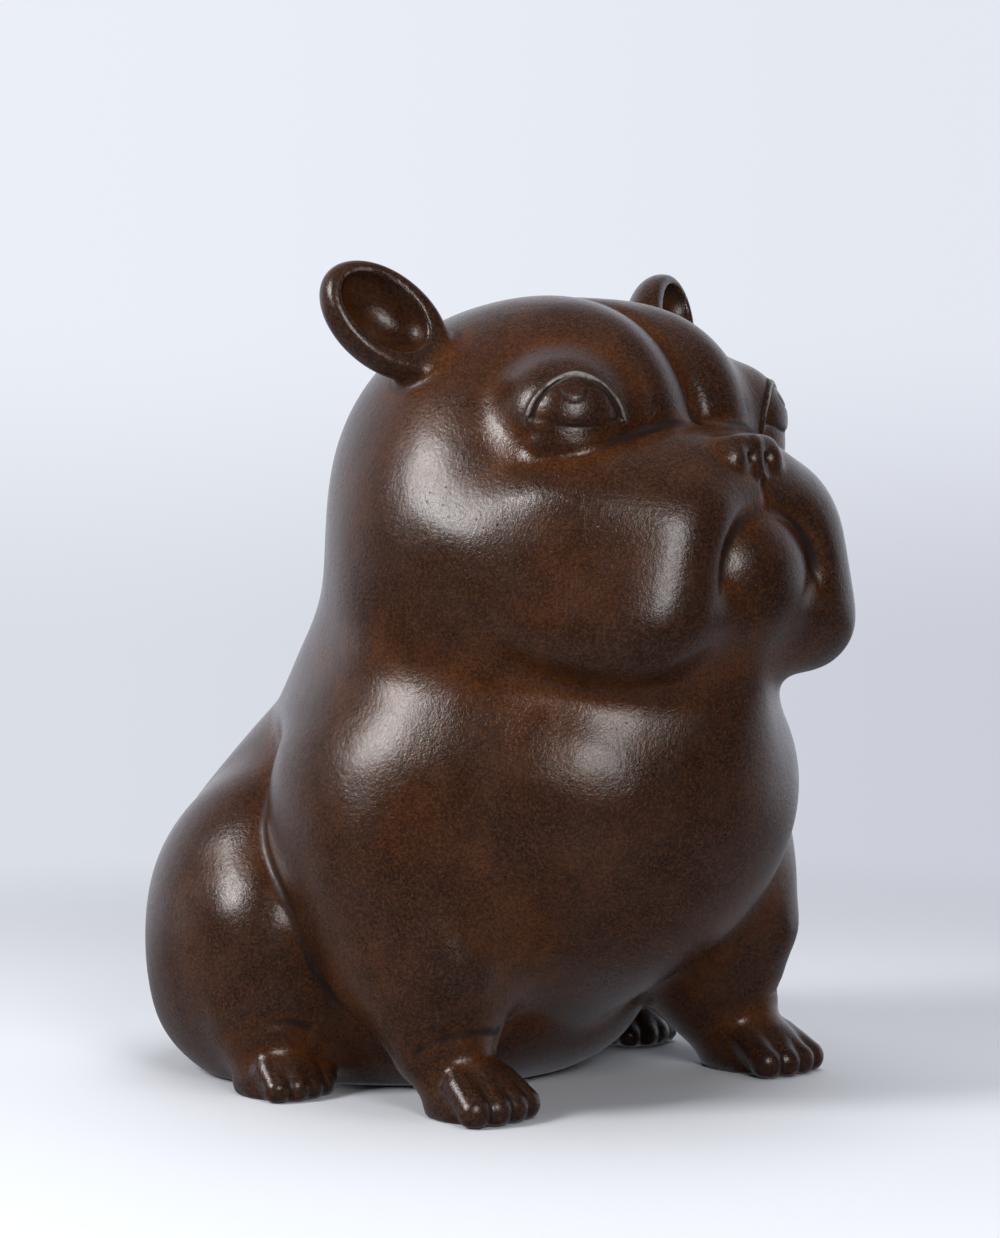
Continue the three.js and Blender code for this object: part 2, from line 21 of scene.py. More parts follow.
import bpy
import numpy as np
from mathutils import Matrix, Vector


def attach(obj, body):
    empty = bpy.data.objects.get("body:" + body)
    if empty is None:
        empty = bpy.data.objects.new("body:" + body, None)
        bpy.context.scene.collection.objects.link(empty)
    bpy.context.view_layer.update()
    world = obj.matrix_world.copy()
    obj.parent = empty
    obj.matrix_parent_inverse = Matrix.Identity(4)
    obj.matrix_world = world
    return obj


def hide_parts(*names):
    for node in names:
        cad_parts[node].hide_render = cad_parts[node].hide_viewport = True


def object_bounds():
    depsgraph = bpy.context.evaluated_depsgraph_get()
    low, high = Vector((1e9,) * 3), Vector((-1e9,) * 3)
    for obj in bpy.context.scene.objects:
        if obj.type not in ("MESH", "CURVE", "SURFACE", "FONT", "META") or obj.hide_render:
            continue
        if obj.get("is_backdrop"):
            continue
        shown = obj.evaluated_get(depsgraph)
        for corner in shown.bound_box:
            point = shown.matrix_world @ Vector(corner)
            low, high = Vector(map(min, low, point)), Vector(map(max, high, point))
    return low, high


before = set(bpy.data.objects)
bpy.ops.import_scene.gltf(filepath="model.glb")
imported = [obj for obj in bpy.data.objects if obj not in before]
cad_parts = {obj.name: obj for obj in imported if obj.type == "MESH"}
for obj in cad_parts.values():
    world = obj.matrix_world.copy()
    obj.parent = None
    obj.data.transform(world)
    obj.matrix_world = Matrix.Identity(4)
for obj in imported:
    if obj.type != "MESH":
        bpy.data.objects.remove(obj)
cad_low, cad_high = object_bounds()
log = logging.getLogger("dog")

Array = np.ndarray
Form = Callable[[Array, Array, Array], Array]
Place = tuple[float, float, float]
Ball = tuple[Place, Place]
Pillow = tuple[Place, Place, float]
Bar = tuple[Place, Place, float, float]
Colour = tuple[float, float, float]
MM = 0.001
# How near a line, or the dome of an eye, its carving is worked out.
LINE_REACH = 45.0
RELIEF_REACH = 40.0
STEPS = np.eye(3, dtype=int)
# The ways to cut a triangle: the turn that brings a halved side first, and which sides are halved.
SPLITS = (
    (0, (1, 0, 0)), (1, (0, 1, 0)), (0, (1, 1, 0)), (2, (0, 0, 1)),
    (2, (1, 0, 1)), (1, (0, 1, 1)), (0, (1, 1, 1)),
)


def at(side: float, forward: float, up: float) -> Place:
    """Returns the place that is side (towards the dog's left), forward and up, in millimetres."""
    return (side, -forward, up)


def ease(start: float, end: float, t: Array) -> Array:
    """Returns 0 before start and 1 after end, turning smoothly between: 3q squared less 2q cubed."""
    q = np.clip((t - start) / (end - start), 0.0, 1.0)
    return q * q * (3.0 - 2.0 * q)


def bell(t: Array, width: float) -> Array:
    """Returns a bell curve of height 1: e to the power of minus t squared over width squared."""
    return np.exp(-(t * t) / (width * width))


def smooth_min(a: Array, b: Array, k: float | Array) -> Array:
    """Returns the lesser of two distances less h squared times k over 4, h falling as they part by k."""
    h = np.maximum(k - np.abs(a - b), 0.0) / k
    return np.minimum(a, b) - h * h * k * 0.25


def smooth_max(a: Array, b: Array, k: float | Array) -> Array:
    """Returns what two forms share, with a rounded edge of reach k."""
    return -smooth_min(-a, -b, k)


def blend(k: float, *forms: Form) -> Form:
    """Returns the forms pressed together one after another with fillets of reach k."""
    return lambda x, y, z: reduce(lambda a, b: smooth_min(a, b, k), (form(x, y, z) for form in forms))


def mirrored(form: Form) -> Form:
    """Returns the form on the dog's left and its mirror image on the right."""
    return lambda x, y, z: form(np.abs(x), y, z)


def paired(k: float, form: Form) -> Form:
    """Returns a form and its mirror image, pressed together where they meet."""
    return lambda x, y, z: smooth_min(form(x, y, z), form(-x, y, z), k)


def egg(centre: Place, radii: Place) -> Form:
    """Returns an ellipsoid: f(f - 1) / g, f the radius in half-sizes and g its slope.

    Args:
        centre: Its middle.
        radii: Half its size along each axis.
    """
    (cx, cy, cz), (rx, ry, rz) = centre, radii

    def form(x: Array, y: Array, z: Array) -> Array:
        """Returns the distances to the ellipsoid."""
        u, v, w = (x - cx) / rx, (y - cy) / ry, (z - cz) / rz
        f = np.sqrt(u * u + v * v + w * w)
        g = np.sqrt((u / rx) ** 2 + (v / ry) ** 2 + (w / rz) ** 2) + 1e-9
        return f * (f - 1.0) / g

    return form


def cushion(centre: Place, radii: Place, power: float) -> Form:
    """Returns an egg with squarer shoulders: (f - 1) / g, f the radius by a power above 2.

    Args:
        centre: Its middle.
        radii: Half its size along each axis.
        power: The power, 2 for a plain egg.
    """
    (cx, cy, cz), (rx, ry, rz) = centre, radii
    p = power - 1.0

    def form(x: Array, y: Array, z: Array) -> Array:
        """Returns the distances to the cushion."""
        u, v, w = np.abs(x - cx) / rx, np.abs(y - cy) / ry, np.abs(z - cz) / rz
        f = (u**power + v**power + w**power) ** (1.0 / power) + 1e-6
        slope = np.sqrt(((u / f) ** p / rx) ** 2 + ((v / f) ** p / ry) ** 2 + ((w / f) ** p / rz) ** 2)
        return (f - 1.0) / slope

    return form


def limb(start: Place, end: Place, start_radius: float, end_radius: float) -> Form:
    """Returns the skin stretched over a ball at each end of a line.

    Args:
        start: The middle of the first ball.
        end: The middle of the second ball.
        start_radius: The first ball's radius.
        end_radius: The second ball's radius.
    """
    a, d = np.array(start), np.array(end) - np.array(start)
    l2 = float(d @ d)
    rr = start_radius - end_radius
    a2 = l2 - rr * rr

    def form(x: Array, y: Array, z: Array) -> Array:
        """Returns the distances to the limb: the cone's side between the balls, else a ball."""
        px, py, pz = x - a[0], y - a[1], z - a[2]
        along = px * d[0] + py * d[1] + pz * d[2]
        over = along - l2
        x2 = sum((p * l2 - q * along) ** 2 for p, q in zip((px, py, pz), d))
        y2, z2 = along * along * l2, over * over * l2
        k = np.sign(rr) * rr * rr * x2
        side = (np.sqrt(x2 * a2 / l2) + along * rr) / l2 - start_radius
        near_start = np.sqrt(x2 + y2) / l2 - start_radius
        near_end = np.sqrt(x2 + z2) / l2 - end_radius
        past_end = np.sign(over) * a2 * z2 > k
        return np.where(past_end, near_end, np.where(np.sign(along) * a2 * y2 < k, near_start, side))

    return form


def near_line(points: Sequence[Place], steps: int = 4) -> Form:
    """Returns the distance to a smooth line drawn through points, for grooves and creases.

    Args:
        points: The places that the line passes through.
        steps: How many straight pieces stand for the curve from one point to the next.

    Returns:
        The distance, exact only near the line. The curve is a Catmull-Rom cubic in each stretch.
    """
    p = np.array([points[0], *points, points[-1]])
    t = (np.arange(steps + 1) / steps)[:, None]
    line = [np.array(points[0])[None]]
    for q0, q1, q2, q3 in zip(p, p[1:], p[2:], p[3:]):
        square, cube = 2 * q0 - 5 * q1 + 4 * q2 - q3, 3 * q1 - q0 - 3 * q2 + q3
        curve = 0.5 * (2 * q1 + (q2 - q0) * t + square * t**2 + cube * t**3)
        line.append(curve[1:])
    corners = np.concatenate(line)
    middle = corners.mean(axis=0)
    reach = float(np.linalg.norm(corners - middle, axis=1).max())

    def form(x: Array, y: Array, z: Array) -> Array:
        """Returns the distances to the line, piece by piece, worked out only near it."""
        distance = np.sqrt((x - middle[0]) ** 2 + (y - middle[1]) ** 2 + (z - middle[2]) ** 2) - reach
        near = distance < LINE_REACH
        if not near.any():
            return distance
        px, py, pz = x[near], y[near], z[near]
        best = np.full(px.shape, np.inf)
        for (ax, ay, az), (dx, dy, dz) in zip(corners[:-1], np.diff(corners, axis=0)):
            u, v, w = px - ax, py - ay, pz - az
            s = np.clip((u * dx + v * dy + w * dz) / (dx * dx + dy * dy + dz * dz), 0.0, 1.0)
            best = np.minimum(best, (u - dx * s) ** 2 + (v - dy * s) ** 2 + (w - dz * s) ** 2)
        distance[near] = np.sqrt(best)
        return distance

    return form


def tall(middle: float, reach: float, lean: float, form: Form) -> Form:
    """Returns a form drawn out upwards and downwards, its top leaning inwards.

    Args:
        middle: The height from which it is drawn out.
        reach: How much height it gains each way.
        lean: How far it leans inwards for each millimetre of height.
        form: The form on the dog's left.
    """

    def drawn(x: Array, y: Array, z: Array) -> Array:
        """Returns the form's distances; the height is drawn in by reach times tanh of rise / reach."""
        rise = z - middle
        return form(x + lean * rise, y, z - reach * np.tanh(rise / reach))

    return drawn


def placed(centre: Place, along: Place, facing: Place, form: Form) -> Form:
    """Returns a form drawn in its own axes: across, along and facing.

    Args:
        centre: Where the form's own origin lies.
        along: The direction of its second axis.
        facing: The rough direction of its third axis, squared to the second.
        form: The form in its own axes.
    """
    v = np.array(along, float)
    v /= np.linalg.norm(v)
    w = np.array(facing, float)
    w -= v * (w @ v)
    w /= np.linalg.norm(w)
    u = np.cross(v, w)
    cx, cy, cz = centre

    def turned(x: Array, y: Array, z: Array) -> Array:
        """Returns the form's distances at the same places in its own axes."""
        p, q, r = x - cx, y - cy, z - cz
        return form(*(axis[0] * p + axis[1] * q + axis[2] * r for axis in (u, v, w)))

    return turned


@dataclass(frozen=True)
class Trunk:
    """Rump and belly on the ground, back rising to a thick nape, round chest, stub of a tail."""

    rump: Pillow = (at(0, -116, 104), (174, 133, 134), 2.3)
    seat: Ball = (at(0, -116, 48), (168, 126, 66))
    belly: Pillow = (at(0, 0, 98), (128, 102, 100), 2.6)
    back: Bar = (at(0, -76, 184), at(0, 42, 330), 128, 115)
    chest: Ball = (at(0, 95, 221), (159, 147, 124))
    nape: Ball = (at(0, 53, 367), (113, 106, 120))
    neck: Bar = (at(64, 66, 338), at(88, 56, 225), 74, 90)
    shoulder: Bar = (at(60, -18, 282), at(91, 8, 172), 58, 87)
    brisket: Bar = (at(0, 102, 190), at(0, 10, 88), 118, 84)
    tail: Bar = (at(0, -234, 132), at(5, -252, 98), 17, 11)

    def rear(self) -> Form:
        """Returns rump, back and belly in one."""
        rump = blend(45, cushion(*self.rump), egg(*self.seat))
        return blend(50, rump, limb(*self.back), cushion(*self.belly))

    def fore(self) -> Form:
        """Returns chest, nape, neck, shoulders and brisket in one."""
        neck, shoulders = paired(40, limb(*self.neck)), paired(30, limb(*self.shoulder))
        return blend(50, egg(*self.chest), egg(*self.nape), neck, shoulders, limb(*self.brisket))


@dataclass(frozen=True)
class Eye:
    """The dome round an eye, with what is carved on it drawn in millimetres on its round.

    On the dome u runs towards the outer corner and v upwards, each an angle times dome_round. The
    lid's arch spans half_width to each side of middle, and rises from foot; iris is u, v and radius.
    """

    centre: Place = at(79, 155, 470)
    size: Place = (47, 47, 44)
    dome_round: float = 45
    facing: Place = (0.42, -0.89, 0.12)
    middle: float = 6.5
    half_width: float = 33
    foot: float = -8
    rise: float = 35.5
    arch_power: float = 1.8
    band_middle: float = 1.05
    band_high: float = 1.9
    iris: Place = (9, 19.5, 10)
    ring_deep: float = 0.7
    roll_high: float = 3.5
    seam_deep: float = 0.5

    def drawn(self, across: Array, along: Array, facing: Array) -> tuple[Array, Array, Array]:
        """Works out where places lie on the dome.

        Args:
            across: How far they lie from its middle towards the outer corner.
            along: How far they lie upwards.
            facing: How far they lie towards its front.

        Returns:
            u, v and the lid's arch, which is 1 along the lid's edge.
        """
        u = self.dome_round * np.arctan2(across, facing)
        v = self.dome_round * np.arctan2(along, np.hypot(across, facing))
        across = np.abs(u - self.middle) / self.half_width
        above = np.maximum(v - self.foot, 0.0) / self.rise
        p = self.arch_power
        return u, v, (across**p + above**p) ** (1 / p)

    def band(self, arch: Array, v: Array) -> Array:
        """Returns the raised band that follows the lid's arch, 1 along its middle."""
        return bell((arch - self.band_middle) * 36.0, 2.4) * ease(self.foot - 4.0, self.foot + 4.0, v)

    def wear(self, points: Array) -> Array:
        """Returns how far each point lies on the band of either lid, from 0 to 1.

        Args:
            points: Places on the skin, one to a row.
        """

        def on_band(across: Array, along: Array, facing: Array) -> Array:
            """Returns the band in the eye's own axes, faded where it ends at the corners."""
            _, v, arch = self.drawn(across, along, facing)
            return self.band(arch, v) ** 2 * ease(self.foot - 2.0, self.foot + 12.0, v) * (facing > 20.0)

        x, y, z = points.T
        return placed(self.centre, (0, 0, 1), self.facing, on_band)(np.abs(x), y, z)

    def relief(self, across: Array, along: Array, facing: Array) -> Array:
        """Returns how far the carving stands out from the dome at each place.

        The lid's arch runs through the eye's corners; inside it the ball is let in, deepest under the
        lid, with the lower half of the iris cut as a ring. A rim follows the arch, and a roll lies
        under the sill with a seam between.

        Args:
            across, along, facing: The places, as for drawn.
        """
        u, v, arch = self.drawn(across, along, facing)
        s = (u - self.middle) / self.half_width
        sill = self.foot + 2.4 + 4.0 * s * s
        opening = ease(1.035, 0.965, arch) * ease(-1.2, 1.2, v - sill)
        rim = self.band_high * self.band(arch, v)
        ball = 4.0 * (1.0 - s * s) - 2.6 - 1.4 * ease(6.0, 28.0, v)
        iris_u, iris_v, iris_radius = self.iris
        off_ring = np.hypot(u - iris_u, v - iris_v) - iris_radius
        ring = self.ring_deep * bell(off_ring, 1.3) * ease(23.0, 14.0, v)
        roll = self.roll_high * bell(v + 19.0, 7.5) * ease(1.25, 0.8, np.abs(s))
        seam = self.seam_deep * bell(v - sill, 2.6) * ease(1.1, 0.8, np.abs(s))
        return rim + (ball - ring) * opening + roll - seam

    def form(self) -> Form:
        """Returns both domes with their carving."""
        dome = egg(self.centre, self.size)
        relief = placed(self.centre, (0, 0, 1), self.facing, self.relief)

        def carved(x: Array, y: Array, z: Array) -> Array:
            """Returns the dome's distances less the relief, worked out only near the dome."""
            distance = dome(x, y, z)
            near = distance < RELIEF_REACH
            distance[near] -= relief(x[near], y[near], z[near])
            return distance

        return mirrored(carved)


@dataclass(frozen=True)
class Head:
    """Round skull with two brow masses and a furrow, full cheeks, hanging flews and short nose."""

    eye: Eye = Eye()
    cranium: Ball = (at(0, 62, 428), (152, 143, 130))
    brow: Ball = (at(36, 122, 468), (42, 84, 74))
    cheek: Ball = (at(89, 106, 372), (70, 94, 80))
    flew: Ball = (at(62, 187, 368), (60, 87, 50))
    flew_reach: float = 30
    flew_lean: float = 0.26
    muzzle: Ball = (at(0, 162, 412), (132, 100, 49))
    bridge: Pillow = (at(0, 194, 428), (56, 57, 32), 2.5)
    nose_pad: Pillow = (at(0, 247, 446), (27, 12, 13.5), 3)
    nose_wing: Ball = (at(18, 253, 442), (8.5, 8.5, 10))
    nose_ridge: Bar = (at(0, 253, 452), at(0, 259, 433), 5.5, 4)
    nostril: Ball = (at(8.5, 264, 443), (4, 8, 5.5))
    chin_tip: Ball = (at(0, 237, 364), (54, 46, 52))
    chin_root: Bar = (at(0, 206, 322), at(0, 184, 275), 50, 62)
    throat: Bar = (at(0, 180, 322), at(0, 146, 250), 62, 80)
    lip_points: tuple[Place, ...] = (
        at(0, 268, 406), at(24, 268, 399), at(44, 266, 378), at(51, 258, 340), at(53, 244, 300),
    )
    philtrum: tuple[Place, ...] = (at(0, 262, 434), at(0, 268, 410))
    fold_points: tuple[Place, ...] = (
        at(140, 132, 452), at(134, 154, 446), at(126, 180, 443), at(109, 199, 444), at(94, 204, 450),
        at(76, 205, 456), at(58, 207, 461), at(38, 212, 465), at(14, 213, 467),
    )

    def skull(self) -> Form:
        """Returns cranium, brows and eyes; the furrow between the brows deepens downwards."""
        forehead = blend(40, egg(*self.cranium), paired(3, egg(*self.brow)))
        eyes = self.eye.form()

        def form(x: Array, y: Array, z: Array) -> Array:
            """Returns the skull's distances."""
            furrow = (3.0 + 6.0 * ease(540, 470, z)) * ease(85, 120, -y) * ease(448, 468, z) * bell(x, 6.0)
            return smooth_min(forehead(x, y, z) + furrow, eyes(x, y, z), 13.0)

        return form

    def nose(self) -> Form:
        """Returns the nose pad with its wings and the ridge between them, less the nostrils."""
        nostrils, wings = mirrored(egg(*self.nostril)), mirrored(egg(*self.nose_wing))
        whole = blend(4, cushion(*self.nose_pad), wings, limb(*self.nose_ridge))
        return lambda x, y, z: smooth_max(whole(x, y, z), -nostrils(x, y, z), 2.0)

    def face(self) -> Form:
        """Returns cheeks, flews, muzzle and nose; the lips are parted from the chin by a groove."""
        flews = paired(10, tall(self.flew[0][2], self.flew_reach, self.flew_lean, egg(*self.flew)))
        full = blend(60, paired(30, egg(*self.cheek)), flews)
        lip_edge, philtrum = mirrored(near_line(self.lip_points)), near_line(self.philtrum)

        def lips(x: Array, y: Array, z: Array) -> Array:
            """Returns the jowls' distances, their underside rising to the back, their edge let in."""
            underside = (266.0 + (225.0 + y) * 0.44 - z) * 0.92
            groove = 6.0 * bell(lip_edge(x, y, z), 9.0) * ease(335, 375, z)
            return smooth_max(full(x, y, z), underside, 44.0) + groove

        upper = blend(26, lips, egg(*self.muzzle), cushion(*self.bridge))
        return blend(6, lambda x, y, z: upper(x, y, z) + 2.5 * bell(philtrum(x, y, z), 3.0), self.nose())

    def form(self) -> Form:
        """Returns the head; its fillets are wide at the back and tight on the face."""
        skull, face, fold = self.skull(), self.face(), mirrored(near_line(self.fold_points))
        chin = blend(16, egg(*self.chin_tip), limb(*self.chin_root))
        jaw = blend(20, chin, limb(*self.throat))

        def whole(x: Array, y: Array, z: Array) -> Array:
            """Returns the head's distances, with the fold from under each eye to the nose."""
            k = 62.0 - 52.0 * ease(60, 200, -y) * ease(380, 444, z)
            side = np.abs(x)
            crease = 2.2 * bell(fold(x, y, z), 4.5) * ease(10, 40, side) * ease(142, 118, side)
            top = smooth_min(skull(x, y, z), face(x, y, z), k) + crease
            return smooth_min(top, jaw(x, y, z), 5.0 + 27.0 * ease(372, 330, z))

        return whole


@dataclass(frozen=True)
class Ear:
    """A thick leaning bowl, cut by a flat face and hollowed from the front."""

    side: float
    up: float
    forward: float = 43
    outer: Ball = ((-1, -9, 0), (34, 51, 26))
    inner: Ball = ((-1, -4, 14), (23, 35, 24))
    face: float = 12
    along: Place = (0.6, 0.4, 0.58)
    facing: Place = (0.15, -0.98, 0.1)

    def form(self) -> Form:
        """Returns the ear on the dog's left."""
        outer, inner = egg(*self.outer), egg(*self.inner)

        def bowl(a: Array, b: Array, c: Array) -> Array:
            """Returns what is inside the bowl and behind its face, less the hollow."""
            return smooth_max(smooth_max(outer(a, b, c), c - self.face, 3.0), -inner(a, b, c), 2.0)

        return placed(at(self.side, self.forward, self.up), self.along, self.facing, bowl)


@dataclass(frozen=True)
class Paw:
    """A pad with four toes: spread is the step from toe to toe, reach how far they go."""

    wide: float
    long: float
    high: float
    spread: float
    reach: float
    toe: float

    def form(self, place: Place) -> Form:
        """Returns the paw whose pad stands on the ground at the place."""
        side, forward = place[0], -place[1]
        pad = cushion(at(side, forward, self.high * 0.42), (self.wide, self.long, self.high), 2.1)
        toes = []
        for n in (-1.5, -0.5, 0.5, 1.5):
            knuckle = at(side + n * self.spread * 0.85, forward + self.long * 0.35, self.toe * 2.1)
            tip = at(side + n * self.spread, forward + self.reach - 4 * abs(n), self.toe * 0.9)
            toes.append(limb(knuckle, tip, self.toe * 0.95, self.toe))
        return blend(6, pad, blend(2, *toes))


def stand(sign: int, shift: tuple[float, float]) -> Callable[[float, float, float], Place]:
    """Returns a function like at, for one side of the dog, that moves out and on by the shift."""
    return lambda side, forward, up: at(sign * (side + shift[0]), forward + shift[1], up)


def footed(leg: Form, foot: Form, crease: Form) -> Form:
    """Returns a leg joined to its foot, with a crease cut along a line round the joint."""
    return lambda x, y, z: smooth_min(leg(x, y, z), foot(x, y, z), 12.0) + 2.2 * bell(crease(x, y, z), 6.0)


@dataclass(frozen=True)
class Foreleg:
    """A stout foreleg with the radii of its shoulder and wrist.

    leg_shift and paw_shift move the leg and the paw out and on from their plainest place.
    """

    sign: int
    radii: tuple[float, float] = (102, 37)
    leg_shift: tuple[float, float] = (0, 0)
    paw_shift: tuple[float, float] = (0, 0)
    paw: Paw = Paw(28, 33, 30, 15.5, 35, 11.5)

    def form(self) -> Form:
        """Returns the leg with its paw, the crease at the wrist and the knot of the forearm."""
        leg_at, paw_at = stand(self.sign, self.leg_shift), stand(self.sign, self.paw_shift)
        arm = limb(leg_at(88, 28, 208), leg_at(127, 88, 50), *self.radii)
        upper_arm = egg(leg_at(118, 60, 166), (76, 64, 76))
        elbow = egg(leg_at(132, 40, 105), (38, 50, 50))
        leg = blend(30, arm, upper_arm, elbow, egg(leg_at(137, 90, 122), (40, 43, 64)))
        crease = ((161, 97, 46), (158, 109, 53), (147, 121, 58), (128, 126, 59), (106, 120, 57))
        wrist = near_line([paw_at(*p) for p in crease])
        knot = near_line([leg_at(152, 133, 102), leg_at(144, 139, 100)])
        whole = footed(leg, self.paw.form(paw_at(127, 113, 0)), wrist)
        return lambda x, y, z: whole(x, y, z) - 5.0 * bell(knot(x, y, z), 19.0)


@dataclass(frozen=True)
class HindLeg:
    """Haunch, shin like a short column and a small paw; shift moves the foot out and on."""

    sign: int
    shift: tuple[float, float] = (0, 0)
    paw: Paw = Paw(26, 34, 26, 13.5, 31, 9.5)

    def form(self) -> Form:
        """Returns the leg with its foot and the crease at the ankle."""
        foot_at = stand(self.sign, self.shift)
        haunch = egg(at(self.sign * 128, -98, 108), (76, 88, 108))
        shin = limb(at(self.sign * 148, -62, 112), foot_at(160, -56, 54), 55, 38)
        crease = ((197, -62, 38), (196, -48, 44), (188, -30, 52), (174, -20, 54), (157, -16, 50))
        ankle = near_line([foot_at(*p) for p in crease])
        return footed(blend(20, haunch, shin), self.paw.form(foot_at(164, -42, 0)), ankle)


@dataclass(frozen=True)
class Puppy:
    """The whole cast: trunk, legs, head and ears in one skin that stands flat on the ground."""

    trunk: Trunk = Trunk()
    head: Head = Head()
    right_hind: HindLeg = HindLeg(-1)
    left_hind: HindLeg = HindLeg(1, (6, 22))
    right_foreleg: Foreleg = Foreleg(-1)
    left_foreleg: Foreleg = Foreleg(1, (112, 41), (17, 14), (22, 12), Paw(28, 42, 30, 15.5, 42, 11.5))
    left_ear: Ear = Ear(146, 547)
    right_ear: Ear = Ear(148, 541)

    def skin(self) -> Form:
        """Returns the whole skin.

        The crease between haunch and shoulder is sharp low down and fades up the back, and the head
        sinks into the nape behind but stands clear of the chest in front.
        """
        rear_trunk, fore_trunk, tail = self.trunk.rear(), self.trunk.fore(), limb(*self.trunk.tail)
        right_hind, left_hind, head = self.right_hind.form(), self.left_hind.form(), self.head.form()
        right_leg, left_leg = self.right_foreleg.form(), self.left_foreleg.form()
        left_ear, right_ear = self.left_ear.form(), self.right_ear.form()

        def form(x: Array, y: Array, z: Array) -> Array:
            """Returns the distances to the skin, cut flat at the ground with a worn edge."""
            hind = np.where(x > 0, left_hind(x, y, z), right_hind(x, y, z))
            rear = smooth_min(smooth_min(rear_trunk(x, y, z), hind, 26.0), tail(x, y, z), 12.0)
            legs = smooth_min(right_leg(x, y, z), left_leg(x, y, z), 5.0)
            fore = smooth_min(fore_trunk(x, y, z), legs, 30.0)
            trunk = smooth_min(rear, fore, 6.0 + 58.0 * ease(222, 275, z))
            bust = smooth_min(trunk, head(x, y, z), 64.0 - 38.0 * ease(20, 190, -y))
            ears = np.where(x > 0, left_ear(x, y, z), right_ear(-x, y, z))
            return smooth_max(smooth_min(bust, ears, 10.0), -z, 3.0)

        return form


@dataclass(frozen=True)
class Fine:
    """A ball of space in which the net is drawn finer: no edge longer than the step."""

    centre: Place
    radius: float
    step: float

    def on_both_sides(self) -> tuple[Fine, Fine]:
        """Returns the ball and its mirror image."""
        x, y, z = self.centre
        return self, Fine((-x, y, z), self.radius, self.step)


